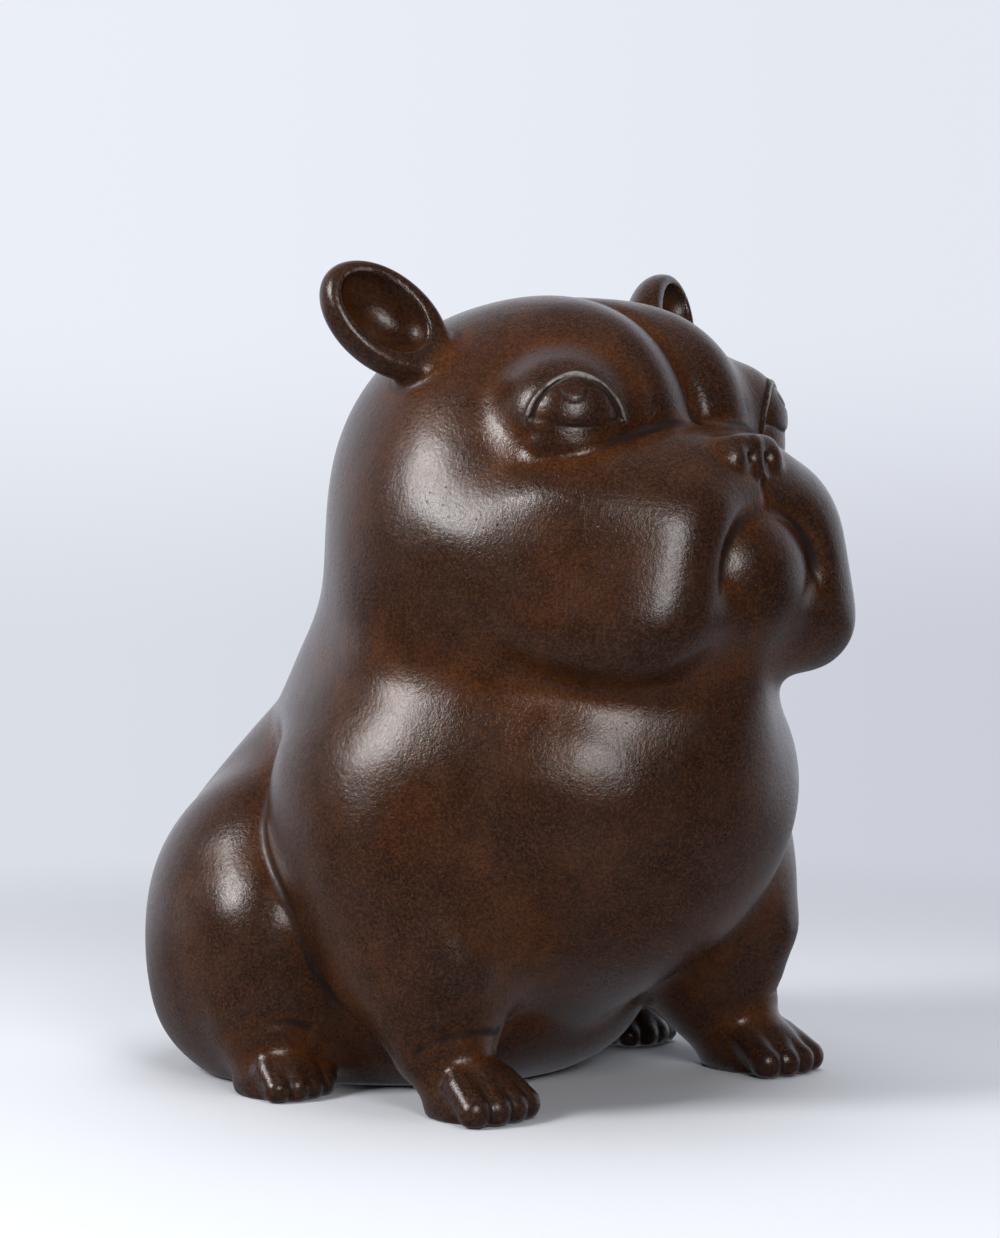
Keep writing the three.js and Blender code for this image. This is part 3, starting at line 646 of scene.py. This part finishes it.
@dataclass
class SkinNet:
    """Draws a closed net over the level surface of a form, finer where the carving is fine.

    The cubes have the size cell. A block is far cubes long, and the skin is looked for in blocks
    whose middle lies within margin blocks of it. Slopes are measured probe to each side. A corner
    is pulled rounds times, and edges are halved levels times at most.
    """

    form: Form
    cell: float
    fine: Sequence[Fine] = ()
    low: Place = (-226, -286, -9)
    high: Place = (226, 286, 606)
    far: int = 4
    margin: float = 1.6
    probe: float = 0.2
    rounds: int = 3
    levels: int = 4

    def grid_values(self) -> Array:
        """Returns the distances on the cubic grid; blocks that the skin can't reach take one value."""
        block = self.far * self.cell
        counts = [math.ceil((end - start) / block) for start, end in zip(self.low, self.high)]
        rows = [start + (np.arange(n) + 0.5) * block for start, n in zip(self.low, counts)]
        middles = np.meshgrid(*rows, indexing="ij")
        values = self.form(*[m.ravel() for m in middles]).reshape(counts)
        for axis in range(3):
            values = np.repeat(values, self.far, axis)
        i, j, k = np.nonzero(np.abs(values) < block * self.margin)
        spots = [start + n * self.cell for start, n in zip(self.low, (i, j, k))]
        values[i, j, k] = self.form(*spots)
        return values

    def corners(self, values: Array, cells: Array) -> Array:
        """Returns the corner of each crossed cube: the middle of where its edges are crossed.

        Args:
            values: The distances on the grid.
            cells: The numbers of the crossed cubes along each axis.
        """
        place, crossed = np.zeros((len(cells), 3)), np.zeros(len(cells))
        for start, axis in product(np.ndindex(2, 2, 2), range(3)):
            if start[axis]:
                continue
            end = np.array(start) + STEPS[axis]
            near, past = values[tuple((cells + start).T)], values[tuple((cells + end).T)]
            hit = (near < 0) != (past < 0)
            share = np.where(hit, near / np.where(hit, near - past, 1.0), 0.0)
            place += (start + share[:, None] * STEPS[axis]) * hit[:, None]
            crossed += hit
        return np.array(self.low) + (cells + place / crossed[:, None]) * self.cell

    def facets(self, inside: Array, number: Array) -> Array:
        """Returns a four-sided facet round each crossed grid edge, turned so that it faces outwards.

        Args:
            inside: Where the grid lies in the bronze.
            number: The number of each cube's corner.

        Returns:
            The numbers of the facets' corners.
        """
        size = number.shape
        made = []
        for axis in range(3):
            lower = [slice(1, n) for n in size]
            lower[axis] = slice(0, size[axis])
            upper = list(lower)
            upper[axis] = slice(1, size[axis] + 1)
            starts, ends = inside[tuple(lower)], inside[tuple(upper)]
            edges = np.argwhere(starts != ends)
            outwards = starts[tuple(edges.T)]
            here = edges + 1 - STEPS[axis]
            p, q = STEPS[(axis + 1) % 3], STEPS[(axis + 2) % 3]
            facet = np.stack([number[tuple(r.T)] for r in (here - p - q, here - q, here, here - p)], 1)
            made.append(np.where(outwards[:, None], facet, facet[:, ::-1]))
        return np.concatenate(made)

    def draw(self) -> tuple[Array, Array]:
        """Returns the corners and triangles of the first net, each facet cut along its short way."""
        values = self.grid_values()
        inside = values < 0
        size = np.array(values.shape) - 1
        count = np.zeros(size, int)
        for start in np.ndindex(2, 2, 2):
            count += inside[tuple(slice(a, a + n) for a, n in zip(start, size))]
        cells = np.argwhere((count > 0) & (count < 8))
        number = np.full(size, -1)
        number[tuple(cells.T)] = np.arange(len(cells))
        points, facets = self.corners(values, cells), self.facets(inside, number)
        a, b, c, d = (points[facets[:, k]] for k in range(4))
        short = (np.linalg.norm(a - c, axis=1) < np.linalg.norm(b - d, axis=1))[:, None]
        first = np.where(short, facets[:, [0, 1, 2]], facets[:, [0, 1, 3]])
        second = np.where(short, facets[:, [0, 2, 3]], facets[:, [1, 2, 3]])
        return points, np.concatenate([first, second])

    def around(self, points: Array, reach: float) -> list[tuple[Array, Array]]:
        """Returns the distances at reach before and after the points along each axis."""
        return [tuple(self.form(*(points + side * reach * step).T) for side in (-1, 1)) for step in STEPS]

    def slope(self, points: Array) -> Array:
        """Returns the slopes at the points: the rise from before to after over twice the probe."""
        pairs = self.around(points, self.probe)
        return np.stack([after - before for before, after in pairs], 1) / (2 * self.probe)

    def bend(self, points: Array, reach: float) -> Array:
        """Returns how sharply the skin turns at each point, above 0 on ridges and below in hollows.

        It is the sum of the distances at reach to each of six sides, less six times the distance
        at the point, over the square of reach: 2 / r on a ball of radius r.
        """
        total = sum(before + after for before, after in self.around(points, reach))
        return (total - 6.0 * self.form(*points.T)) / reach**2

    def settle(self, points: Array, reach: float) -> Array:
        """Returns the points pulled on to the level surface.

        A point moves against the slope, by the distance times the slope over its square.

        Args:
            points: The corners to pull.
            reach: The longest step of a round.
        """
        points = points.copy()
        for _ in range(self.rounds):
            distance, slope = self.form(*points.T), self.slope(points)
            step = distance[:, None] * slope / np.maximum((slope * slope).sum(1), 0.2)[:, None]
            size = np.linalg.norm(step, axis=1)
            points -= step * np.minimum(1.0, reach / np.maximum(size, 1e-9))[:, None]
        return points

    def wanted(self, points: Array) -> Array:
        """Returns the longest edge wanted at each point."""
        step = np.full(len(points), np.inf)
        for zone in self.fine:
            near = np.linalg.norm(points - np.array(zone.centre), axis=1) < zone.radius
            step[near] = np.minimum(step[near], zone.step)
        return step

    def split(self, points: Array, triangles: Array) -> tuple[Array, Array, int]:
        """Halves every edge that is longer than wanted, and cuts the triangles to match.

        Args:
            points: The corners.
            triangles: The numbers of each triangle's corners.

        Returns:
            The corners with the new ones last, the triangles, and how many corners are new.
        """
        sides = np.concatenate([triangles[:, pair] for pair in ([0, 1], [1, 2], [2, 0])])
        edges, back = np.unique(np.sort(sides, axis=1), axis=0, return_inverse=True)
        back = back.reshape(3, -1).T
        ends = points[edges]
        middle = ends.mean(axis=1)
        marked = np.linalg.norm(ends[:, 0] - ends[:, 1], axis=1) > self.wanted(middle)
        number = np.full(len(edges), -1)
        number[marked] = len(points) + np.arange(marked.sum())
        mid = number[back]
        has = mid >= 0
        made = [triangles[~has.any(axis=1)]]
        for turn, halved in SPLITS:
            mine = (has == halved).all(axis=1)
            a, b, c = (triangles[mine][:, (k + turn) % 3] for k in range(3))
            ab, bc, ca = (mid[mine][:, (k + turn) % 3] for k in range(3))
            parts = {
                1: ((a, ab, c), (ab, b, c)),
                2: ((ab, b, bc), (a, ab, c), (ab, bc, c)),
                3: ((a, ab, ca), (ab, b, bc), (ca, bc, c), (ab, bc, ca)),
            }
            made += [np.stack(part, 1) for part in parts[sum(halved)]]
        return np.concatenate([points, middle[marked]]), np.concatenate(made), int(marked.sum())

    def build(self) -> tuple[Array, Array]:
        """Returns the corners and triangles of the finished net."""
        points, triangles = self.draw()
        points = self.settle(points, self.cell * 0.5)
        for level in range(self.levels):
            before = len(points)
            points, triangles, new = self.split(points, triangles)
            if not new:
                break
            points[before:] = self.settle(points[before:], self.cell * 0.3)
            log.info("net level %d: %d corners, %d triangles", level, len(points), len(triangles))
        return points, triangles


class Sum(Enum):
    """What a Math node does with its numbers."""

    ADD = "ADD"
    LESS = "SUBTRACT"
    TIMES = "MULTIPLY"
    ABOVE = "GREATER_THAN"
    SIZE = "ABSOLUTE"


def sign(operation: Sum, turned: bool = False) -> Callable[[Wire, Wire | float], Wire]:
    """Returns the method for one arithmetic sign.

    Args:
        operation: What the Math node does.
        turned: Whether the wire comes after the sign.
    """

    def method(self: Wire, other: Wire | float = 0.0) -> Wire:
        """Returns the result of a Math node."""
        first, second = (other, self) if turned else (self, other)
        return self.nodes.add("Math", {0: first, 1: second}, operation=operation.value)

    return method


@dataclass
class Wire:
    """A socket of a node tree, with the arithmetic signs adding Math nodes."""

    nodes: Nodes
    socket: bpy.types.NodeSocket
    __add__, __radd__ = sign(Sum.ADD), sign(Sum.ADD, True)
    __sub__, __rsub__ = sign(Sum.LESS), sign(Sum.LESS, True)
    __mul__, __rmul__ = sign(Sum.TIMES), sign(Sum.TIMES, True)
    __gt__, __lt__ = sign(Sum.ABOVE), sign(Sum.ABOVE, True)
    __abs__ = sign(Sum.SIZE)

    def between(self, low: float, high: float) -> Wire:
        """Returns 0 below low and 1 above high, turning smoothly between."""
        sockets = {"Value": self, "From Min": low, "From Max": high}
        return self.nodes.add("MapRange", sockets, interpolation_type="SMOOTHSTEP")


@dataclass(frozen=True)
class Grain:
    """A noise: its lumps in a metre, how many finer layers it has and how strong they are."""

    scale: float
    detail: float
    roughness: float


class Nodes:
    """Adds nodes to one node tree."""

    def __init__(self, owner: bpy.types.Material | bpy.types.World) -> None:
        """Gives the owner an empty tree and keeps it."""
        owner.use_nodes = True
        self.tree = owner.node_tree
        self.tree.nodes.clear()

    def add(self, kind: str, inputs: dict | None = None, output: int | str = 0, **settings: str) -> Wire:
        """Adds a node.

        Args:
            kind: The node's type, less the word ShaderNode before it.
            inputs: Values or wires by socket name or number.
            output: The output socket to return.
            **settings: The node's own settings, set before its sockets.

        Returns:
            The wire of the output socket, or of none for an output node.
        """
        node = self.tree.nodes.new("ShaderNode" + kind)
        for name, value in settings.items():
            setattr(node, name, value)
        for name, value in (inputs or {}).items():
            socket = node.inputs[name]
            if isinstance(value, Wire):
                self.tree.links.new(value.socket, socket)
            else:
                socket.default_value = value
        return Wire(self, node.outputs[output] if len(node.outputs) else None)

    def noise(self, place: Wire, grain: Grain) -> Wire:
        """Returns a noise between 0 and 1."""
        sockets = {"Scale": grain.scale, "Detail": grain.detail, "Roughness": grain.roughness}
        return self.add("TexNoise", {"Vector": place, **sockets}, "Fac")

    def attribute(self, name: str) -> Wire:
        """Returns a number that the mesh carries at its points."""
        return self.add("Attribute", output="Fac", attribute_name=name)

    def along(self, way: Wire, axis: Place) -> Wire:
        """Returns how far a direction goes along an axis."""
        return self.add("VectorMath", {0: way, 1: axis}, "Value", operation="DOT_PRODUCT")

    def mix(self, factor: Wire, first: Wire | Colour, second: Wire | Colour) -> Wire:
        """Returns the first colour turning into the second as the factor goes from 0 to 1."""
        ends = [c if isinstance(c, Wire) else (*c, 1.0) for c in (first, second)]
        return self.add("Mix", {0: factor, 6: ends[0], 7: ends[1]}, 2, data_type="RGBA")


@dataclass(frozen=True)
class BronzePatina:
    """Brown chemical patina over cast bronze, waxed and rubbed: colours, gloss and grain.

    bump is the height in metres of a bump of 1. Each scratch is the turn of its lines, in radians,
    and the grain of the patches that it keeps to.
    """

    dark: Colour = (0.0125, 0.0048, 0.0030)
    brown: Colour = (0.054, 0.0215, 0.0100)
    rust: Colour = (0.128, 0.040, 0.0095)
    plum: Colour = (0.047, 0.0245, 0.0180)
    worn: Colour = (0.27, 0.235, 0.20)
    pit: Colour = (0.006, 0.004, 0.003)
    roughness: float = 0.25
    metallic: float = 0.05
    gloss: float = 0.38
    wax: float = 0.16
    wax_roughness: float = 0.18
    bump: float = 0.0011
    clouds: Grain = Grain(7.0, 4.0, 0.6)
    blooms: Grain = Grain(12.0, 5.0, 0.66)
    patches: Grain = Grain(19.0, 3.0, 0.6)
    dents: Grain = Grain(21.0, 2.0, 0.4)
    drift: Grain = Grain(34.0, 5.0, 0.65)
    dimples: Grain = Grain(62.0, 2.0, 0.5)
    chafe: Grain = Grain(150.0, 4.0, 0.7)
    cuts: Grain = Grain(190.0, 2.0, 0.5)
    stipple: Grain = Grain(330.0, 3.0, 0.65)
    speckle: Grain = Grain(470.0, 3.0, 0.75)
    fine: Grain = Grain(1000.0, 2.0, 0.6)
    pore_scale: float = 165.0
    pore_share: float = 0.55
    scratched: tuple[tuple[Place, Grain], ...] = (
        ((0.4, 0.9, 0.2), Grain(14.0, 3.0, 0.6)),
        ((1.1, -0.5, 2.0), Grain(17.5, 3.0, 0.6)),
    )

    def material(self) -> bpy.types.Material:
        """Returns the material.

        Broad clouds of dark, brown, plum and rust lie under a fine speckle. Hollows keep dark wax,
        the lids' edges and sharp rims are rubbed pale. Pores, stipple, long hand-worked dents and
        fine scratches are bumps.
        """
        made = bpy.data.materials.new("bronze_patina")
        n = Nodes(made)
        place = n.add("TexCoord", output="Object")
        rim, lid = n.attribute("rim"), n.attribute("lid")
        drift, speckle, fine = (n.noise(place, grain) for grain in (self.drift, self.speckle, self.fine))
        hollow = (0.0 - rim).between(0.10, 0.9)
        pores = self.pores(n, place)
        colour = self.mottle(n, place, drift, speckle, fine)
        colour = n.mix(hollow * 0.85, colour, self.dark)
        colour = n.mix(pores * 0.9, colour, self.pit)
        chafe = n.noise(place, self.chafe) - 0.5
        worn = (rim + chafe * 1.6 + (drift - 0.5) * 3.4).between(1.5, 2.2)
        rubbed = (lid + chafe * 1.2 + drift - 0.5).between(0.52, 1.0)
        colour = n.mix(worn * 0.7, colour, self.worn)
        colour = n.mix(rubbed * 0.6, colour, self.worn)
        uneven = (drift - 0.5) * 0.18 + (speckle - 0.5) * 0.16
        hand = n.noise(place, self.dents) * 1.1 + n.noise(place, self.dimples) * 0.22
        tooth = n.noise(place, self.stipple) * 0.34 + fine * 0.12
        height = hand + tooth - pores * 0.3 - self.scratches(n, place) * 0.03
        relief = {"Height": height, "Strength": 1.0, "Distance": self.bump}
        sockets = {
            "Base Color": colour,
            "Roughness": self.roughness + uneven + hollow * 0.35 + rubbed * 0.1,
            "Metallic": self.metallic,
            "Specular IOR Level": self.gloss,
            "Normal": n.add("Bump", relief, "Normal"),
            "Coat Weight": self.wax,
            "Coat Roughness": self.wax_roughness,
        }
        n.add("OutputMaterial", {"Surface": n.add("BsdfPrincipled", sockets)})
        return made

    def mottle(self, n: Nodes, place: Wire, drift: Wire, speckle: Wire, fine: Wire) -> Wire:
        """Returns the colour of the sound patina; the swells are plum, the rest holds more rust.

        Args:
            n: The material's nodes.
            place: Where the point lies on the dog.
            drift: Noise of some 30 mm.
            speckle: Noise of some 2 mm.
            fine: Noise of some 1 mm.

        Returns:
            The wire of the colour.
        """
        clouds, blooms, swell = n.noise(place, self.clouds), n.noise(place, self.blooms), n.attribute("swell")
        plum = (clouds * 0.75 + drift * 0.35 + swell * 0.10).between(0.46, 0.74)
        colour = n.mix(plum * 0.75, self.brown, self.plum)
        rust = (blooms * 0.66 + drift * 0.2 + speckle * 0.4 - swell * 0.05).between(0.52, 0.80)
        colour = n.mix(rust * 0.66, colour, self.rust)
        dark = (1.0 - clouds * 0.45 - drift * 0.55 + speckle * 0.2).between(0.52, 0.80)
        colour = n.mix(dark * 0.5, colour, self.dark)
        grains = (speckle * 0.7 + fine * 0.3).between(0.42, 0.60)
        colour = n.mix(grains * 0.65, colour, self.dark)
        sparks = (1.0 - speckle * 0.65 - fine * 0.35).between(0.50, 0.64)
        return n.mix(sparks * 0.45, colour, self.rust)

    def pores(self, n: Nodes, place: Wire) -> Wire:
        """Returns the casting pores, 1 inside one: scattered pits that keep to a few patches.

        Args:
            n: The material's nodes.
            place: Where the point lies on the dog.
        """
        spots = {"Vector": place, "Scale": self.pore_scale}
        cells = n.add("TexVoronoi", spots, "Distance")
        choice = n.add("TexVoronoi", spots, "Color")
        picked = n.add("SeparateColor", {"Color": choice}, "Red") > 1.0 - self.pore_share
        patches = (n.noise(place, self.patches) + n.attribute("pitted") * 0.2).between(0.54, 0.66)
        return (1.0 - cells.between(0.07, 0.17)) * patches * picked

    def scratches(self, n: Nodes, place: Wire) -> Wire:
        """Returns fine lines, 1 on a line: thin cuts through a noise that is drawn out one way.

        Args:
            n: The material's nodes.
            place: Where the point lies on the dog.
        """
        lines = 0.0
        for turn, patches in self.scratched:
            drawn_out = {"Vector": place, "Rotation": turn, "Scale": (1.0, 1.0, 0.06)}
            wave = n.noise(n.add("Mapping", drawn_out, vector_type="POINT"), self.cuts)
            line = 1.0 - abs(wave - 0.5).between(0.0, 0.014)
            lines = lines + line * n.noise(place, patches).between(0.52, 0.66)
        return lines


def show(name: str, data: bpy.types.ID) -> bpy.types.Object:
    """Returns a new object in the scene that carries the data."""
    made = bpy.data.objects.new(name, data)
    bpy.context.scene.collection.objects.link(made)
    return made


@dataclass
class Cast:
    """The cast as one mesh in the row frame, in place of the plain solid.

    Each bend is the name of a number on the mesh, the reach in millimetres over which it is
    measured and what it is multiplied by. The near cheek has more casting pores.
    """

    puppy: Puppy = Puppy()
    finish: BronzePatina = BronzePatina()
    cell: float = 6.2
    quick_cell: float = 8.0
    bends: tuple[tuple[str, float, float], ...] = (("rim", 1.6, 4.0), ("swell", 12.0, 60.0))
    pitted_cheek: Place = at(-148, 138, 405)
    pitted_reach: float = 48
    fine: tuple[Fine, ...] = (
        *Fine(at(85, 180, 475), 52, 3.0).on_both_sides(),
        *Fine(at(90, 192, 472), 37, 1.5).on_both_sides(),
        Fine(at(0, 258, 440), 32, 1.6),
        Fine(at(0, 262, 385), 58, 3.2),
        *Fine(at(62, 240, 320), 55, 4.0).on_both_sides(),
        Fine(at(0, 170, 510), 60, 3.4),
        Fine(at(-150, 43, 541), 64, 2.6),
        Fine(at(150, 43, 547), 64, 2.6),
        Fine(at(-127, 145, 20), 45, 2.6),
        Fine(at(149, 164, 20), 45, 2.6),
        *Fine(at(164, -18, 18), 38, 2.6).on_both_sides(),
        *Fine(at(145, -20, 190), 56, 4.0).on_both_sides(),
        *Fine(at(150, 0, 90), 56, 4.0).on_both_sides(),
    )

    def build(self) -> tuple[bpy.types.Object, Array]:
        """Returns the finished object and the middle of its footprint in the dog's own axes."""
        size = ((self.cell, self.fine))
        net = SkinNet(self.puppy.skin(), *size)
        points, triangles = net.build()
        middle = (points.min(axis=0) + points.max(axis=0)) / 2
        middle[2] = 0.0
        mesh = bpy.data.meshes.new("dog_cast")
        mesh.from_pydata(((points - middle) * MM).tolist(), [], triangles.tolist(), shade_flat=False)
        from_cheek = np.linalg.norm(points - np.array(self.pitted_cheek), axis=1)
        numbers = {"lid": self.puppy.head.eye.wear(points), "pitted": bell(from_cheek, self.pitted_reach)}
        for name, reach, times in self.bends:
            numbers[name] = np.clip(net.bend(points, reach) * times, -2.0, 2.0)
        for name, values in numbers.items():
            mesh.attributes.new(name, "FLOAT", "POINT").data.foreach_set("value", values.astype(np.float32))
        mesh.materials.append(self.finish.material())
        piece = show("dog_cast", mesh)
        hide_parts("dog")
        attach(piece, "root")
        log.info("%s: %d triangles", piece.name, len(triangles))
        return piece, middle


@dataclass(frozen=True)
class SoftBox:
    """One studio light: where it stands, what it looks at, its size and power, and if it glints."""

    name: str
    place: Place
    aim: Place
    size: tuple[float, float]
    power: float
    glints: bool = True


@dataclass
class Studio:
    """Pale floor that fades into the surround, soft boxes and the camera at the photograph's angle.

    The floor turns clear from floor_near to floor_far, and is floor_clear of the way clear in the
    bronze. Each shaded paper is its colour on the left and on the right, with painted shade: darker
    on the right, and the low paper darker than the high. The camera's place is in metres
    in the dog's own axes, its turns are in degrees, and its focal length is in pixels of a frame
    frame_high tall.
    """

    floor_half: float = 4.0
    floor_near: float = 0.6
    floor_far: float = 1.5
    floor_clear: float = 0.92
    floor_paper: Colour = (0.83, 0.85, 0.90)
    # Paper colours that the camera sees, with painted shade: darker on the right and low down.
    shaded_low_paper: tuple[Colour, Colour] = ((0.70, 0.73, 0.80), (0.60, 0.62, 0.69))
    shaded_high_paper: tuple[Colour, Colour] = ((0.83, 0.86, 0.935), (0.78, 0.81, 0.885))
    dim: Colour = (0.02, 0.02, 0.022)
    bright: Colour = (0.72, 0.76, 0.85)
    camera_at: Place = (-1.6103, -1.6263, 0.415)
    camera_turn: float = -45.0
    camera_dip: float = 2.15
    focal: float = 3170.0
    frame_high: float = 1238.0
    sensor: float = 36.0
    lights: tuple[SoftBox, ...] = (
        SoftBox("side", (-2.05, 0.66, 1.58), (0, 0, 0.30), (0.8, 0.95), 47.0),
        SoftBox("front", (-1.05, -1.85, 1.15), (0, 0, 0.32), (0.75, 0.8), 21.0),
        SoftBox("over", (0.05, -0.30, 2.5), (0.05, -0.30, 0.0), (1.6, 1.6), 25.0, False),
    )

    def surround(self) -> None:
        """Makes the surround: bright behind and beside the dog, dim round the camera and above.

        The camera itself sees plain paper with painted shade, a little darker towards the horizon and the
        right.
        """
        world = bpy.data.worlds.new("surround")
        bpy.context.scene.world = world
        n = Nodes(world)
        way = n.add("TexCoord", output="Generated")
        up, half = n.along(way, (0.0, 0.0, 1.0)), math.sqrt(0.5)
        behind, right = n.along(way, (half, half, 0.0)), n.along(way, (half, -half, 0.0))
        level = (1.0 - up.between(0.35, 0.9) * 0.75) * (0.2 + up.between(-0.25, 0.0) * 0.8)
        glow = n.mix(behind.between(-0.05, 0.6) * level, self.dim, self.bright)
        across = right.between(-0.15, 0.16)
        # Painted shade on the paper: darker on the right and below the horizon.
        low, high = n.mix(across, *self.shaded_low_paper), n.mix(across, *self.shaded_high_paper)
        paper = n.mix(up.between(-0.05, 0.06), low, high)
        seen = n.add("LightPath", output="Is Camera Ray")
        light, backdrop = (n.add("Background", {"Color": c}) for c in (glow, paper))
        both = n.add("MixShader", {0: seen, 1: light, 2: backdrop})
        n.add("OutputWorld", {"Surface": both})

    def floor(self) -> None:
        """Makes the pale floor, clear beyond floor_far so that no edge shows, and dim in the bronze."""
        h = self.floor_half
        mesh = bpy.data.meshes.new("floor")
        mesh.from_pydata([(-h, -h, 0), (h, -h, 0), (h, h, 0), (-h, h, 0)], [], [(0, 1, 2, 3)])
        pale = bpy.data.materials.new("floor_paper")
        n = Nodes(pale)
        paper = n.add("BsdfPrincipled", {"Base Color": (*self.floor_paper, 1.0), "Roughness": 0.75})
        clear = n.add("BsdfTransparent")
        place = n.add("TexCoord", output="Object")
        out = n.add("VectorMath", {0: place}, "Value", operation="LENGTH")
        mirrored_ray = n.add("LightPath", output="Is Glossy Ray")
        gone = out.between(self.floor_near, self.floor_far)
        fade = {0: gone + (1.0 - gone) * mirrored_ray * self.floor_clear, 1: paper, 2: clear}
        n.add("OutputMaterial", {"Surface": n.add("MixShader", fade)})
        mesh.materials.append(pale)
        floor = show("floor", mesh)
        floor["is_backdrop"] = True

    def light(self, box: SoftBox) -> None:
        """Hangs one soft box, turned so that it shines from its place towards its aim."""
        lamp = bpy.data.lights.new(box.name, "AREA")
        lamp.shape = "RECTANGLE"
        lamp.size, lamp.size_y = box.size
        lamp.energy = box.power
        holder = show(box.name, lamp)
        holder.location = box.place
        x, y, z = np.array(box.aim) - np.array(box.place)
        holder.rotation_euler = (math.pi / 2 + math.atan2(z, math.hypot(x, y)), 0.0, math.atan2(-x, y))
        holder.visible_camera = False
        holder.visible_glossy = box.glints

    def camera(self, middle: Array) -> None:
        """Sets up the camera; middle is the middle of the dog's footprint in its own axes."""
        lens = bpy.data.cameras.new("camera")
        lens.sensor_width = self.sensor
        lens.lens = self.sensor * self.focal / self.frame_high
        camera = show("camera", lens)
        camera.location = np.array(self.camera_at) - middle * MM
        camera.rotation_euler = np.radians((90.0 - self.camera_dip, 0.0, self.camera_turn))
        bpy.context.scene.camera = camera

    def build(self, middle: Array) -> None:
        """Sets up the whole studio.

        Args:
            middle: The middle of the dog's footprint in its own axes.
        """
        bpy.context.scene.view_settings.view_transform = "Standard"
        self.surround()
        self.floor()
        for box in self.lights:
            self.light(box)
        self.camera(middle)
        log.info("studio: %d lights", len(self.lights))


def main() -> None:
    """Builds the cast and the studio."""
    logging.basicConfig(level=logging.INFO, format="%(name)s %(message)s")
    _, middle = Cast().build()
    Studio().build(middle)
    boxes = {"cad": (cad_low, cad_high), "visual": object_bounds()}
    {name: [list(low), list(high)] for name, (low, high) in boxes.items()}


if __name__ == "__main__":
    main()
